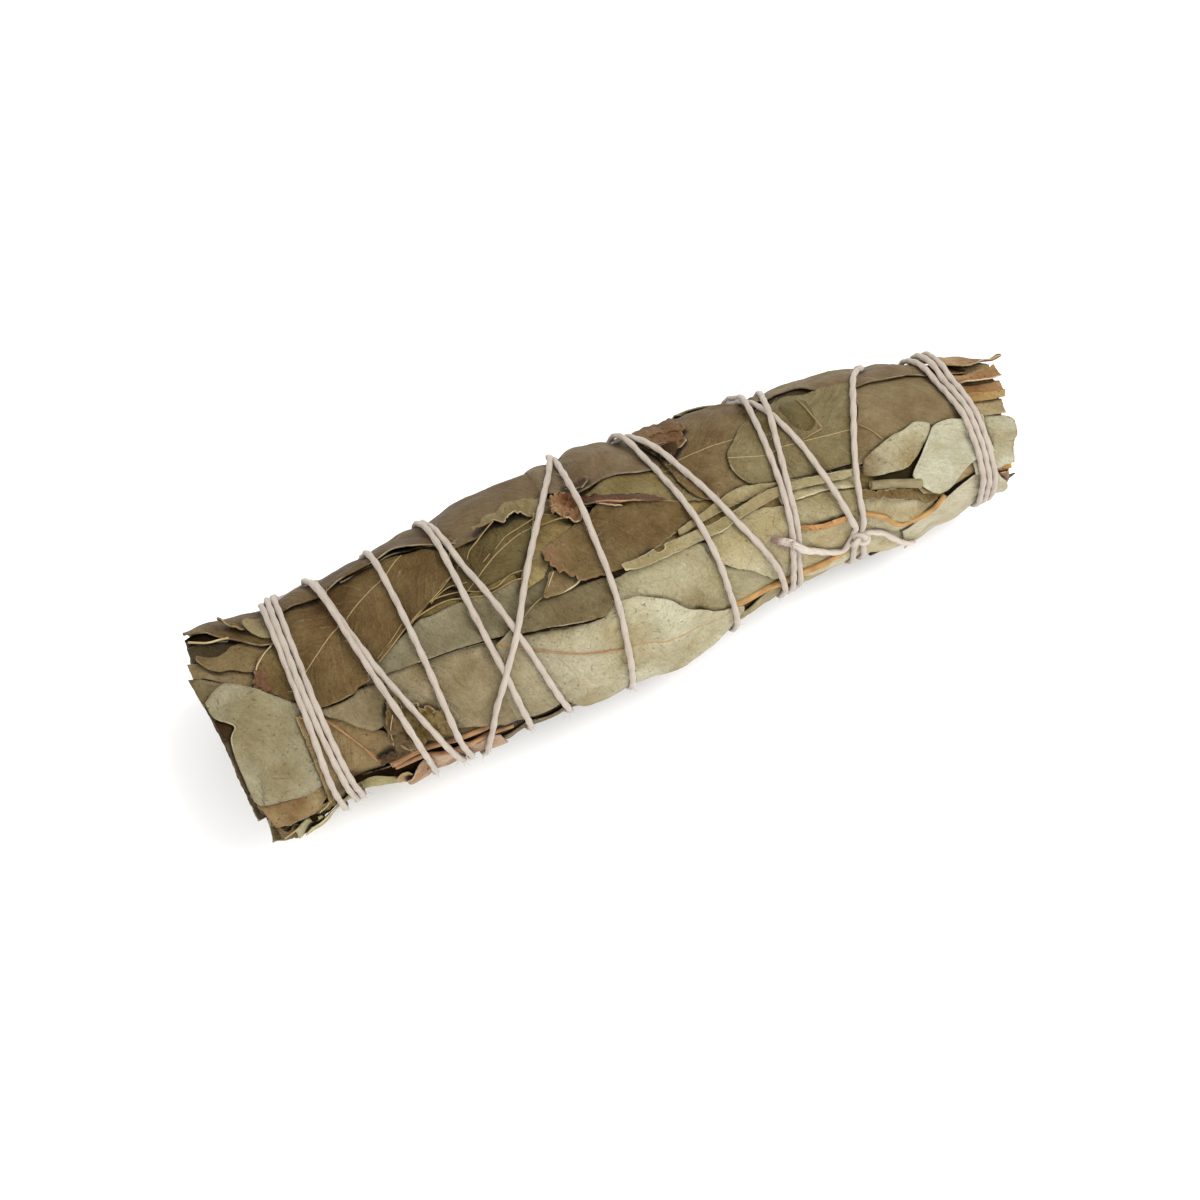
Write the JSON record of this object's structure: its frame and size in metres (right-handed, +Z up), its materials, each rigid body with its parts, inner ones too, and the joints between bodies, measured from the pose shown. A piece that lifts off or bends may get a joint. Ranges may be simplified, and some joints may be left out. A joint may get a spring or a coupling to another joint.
{
  "type": "eucalyptus smudge stick",
  "caption": "Bundle of dried eucalyptus leaves and stems bound with cotton string, blunt at the foot and tapered at the tip, lying on its side to be burned or displayed.",
  "frame": {"origin": "middle of the bundle's footprint, on the surface it lies on", "axes": "+X along the bundle from its blunt foot to its thin tip, +Z up from the surface it lies on, +Y across it"},
  "size_m": [0.1193, 0.038, 0.031],
  "materials": {
    "leaf_olive": "dry matt leaf",
    "leaf_sage": "dry matt leaf",
    "leaf_khaki": "dry matt leaf",
    "leaf_brown": "dry matt leaf",
    "leaf_tan": "dry matt leaf",
    "stem_bark": "dry matt bark",
    "cotton_string": "soft undyed cotton"
  },
  "bodies": {
    "root": {"back_leaf_1": "leaf_olive", "back_leaf_2": "leaf_tan", "back_leaf_3": "leaf_sage", "back_leaf_4": "leaf_khaki", "back_leaf_5": "leaf_brown", "back_leaf_6": "leaf_olive", "binding_string": "cotton_string", "core_roll_foot": "leaf_olive", "core_roll_tip": "leaf_khaki", "core_stem_1": "stem_bark", "core_stem_2": "stem_bark", "core_stem_3": "stem_bark", "foot_leaf_pale": "leaf_sage", "foot_leaf_pink_edge": "leaf_brown", "foot_leaf_strip": "leaf_tan", "foot_leaf_tan": "leaf_tan", "foot_leaf_torn": "leaf_olive", "front_leaf_beige": "leaf_tan", "front_leaf_big_brown": "leaf_brown", "front_leaf_cut_edge": "leaf_sage", "front_leaf_diagonal": "leaf_olive", "front_leaf_folded_strip": "leaf_khaki", "front_leaf_grey": "leaf_sage", "front_leaf_large_pale": "leaf_sage", "front_leaf_olive": "leaf_olive", "front_leaf_rib": "leaf_olive", "front_leaf_round": "leaf_khaki", "front_leaf_smooth": "leaf_sage", "front_leaf_speckled": "leaf_olive", "front_leaf_veined": "leaf_brown", "front_stem_foot": "stem_bark", "front_stem_middle": "stem_bark", "front_stem_tip": "stem_bark", "knot": "cotton_string", "low_leaf_1": "leaf_khaki", "low_leaf_2": "leaf_olive", "low_leaf_3": "leaf_sage", "low_leaf_4": "leaf_tan", "low_leaf_roll": "leaf_brown", "tip_leaf_brown": "leaf_brown", "tip_leaf_green": "leaf_sage", "tip_leaf_pale_green": "leaf_sage", "tip_leaf_tan": "leaf_tan", "top_leaf_brown_grey": "leaf_brown", "top_leaf_edge_strip": "leaf_brown", "top_leaf_narrow": "leaf_brown", "top_leaf_ribbed": "leaf_brown", "top_leaf_tip_strip": "leaf_tan", "under_leaf_foot": "leaf_sage", "under_leaf_middle": "leaf_khaki", "under_leaf_tip": "leaf_tan", "wrap_leaf_back_foot": "leaf_brown", "wrap_leaf_back_tip": "leaf_brown", "wrap_leaf_front_foot": "leaf_olive", "wrap_leaf_front_tip": "leaf_khaki", "wrap_leaf_top_foot": "leaf_olive", "wrap_leaf_top_tip": "leaf_olive", "wrap_leaf_under_foot": "leaf_khaki", "wrap_leaf_under_tip": "leaf_khaki"}
  },
  "joints": []
}
